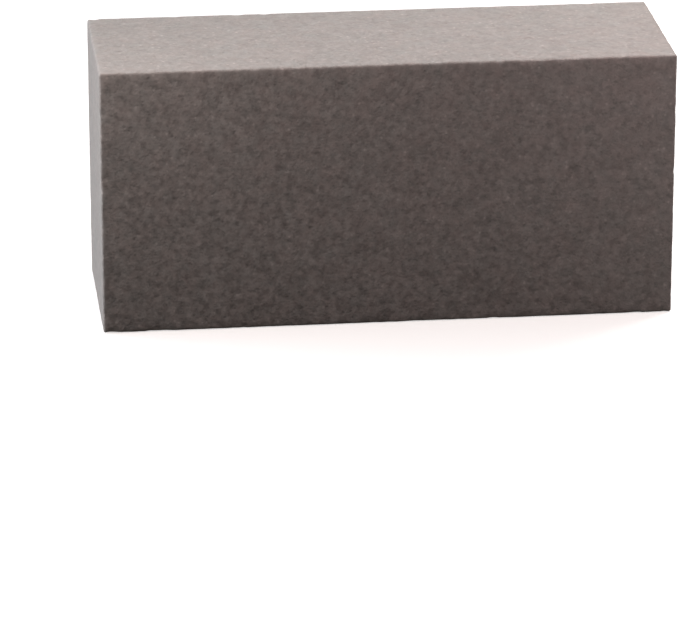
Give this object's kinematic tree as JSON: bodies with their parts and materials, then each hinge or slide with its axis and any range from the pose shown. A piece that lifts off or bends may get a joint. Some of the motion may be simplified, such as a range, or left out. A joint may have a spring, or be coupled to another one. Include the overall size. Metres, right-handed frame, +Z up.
{
  "type": "foam block",
  "caption": "Rectangular block of stiff dry floral foam with sawn faces and crisp edges, for holding stems and stakes.",
  "frame": {"origin": "middle of the face that the block stands on", "axes": "+X along the length, to the right as seen from the front, +Y through the thickness to the back, +Z up"},
  "size_m": [0.2286, 0.0762, 0.108],
  "materials": {
    "floral_foam": "dry open foam, sawn and fully matte"
  },
  "bodies": {
    "root": {"foam_block": "floral_foam"}
  },
  "joints": []
}
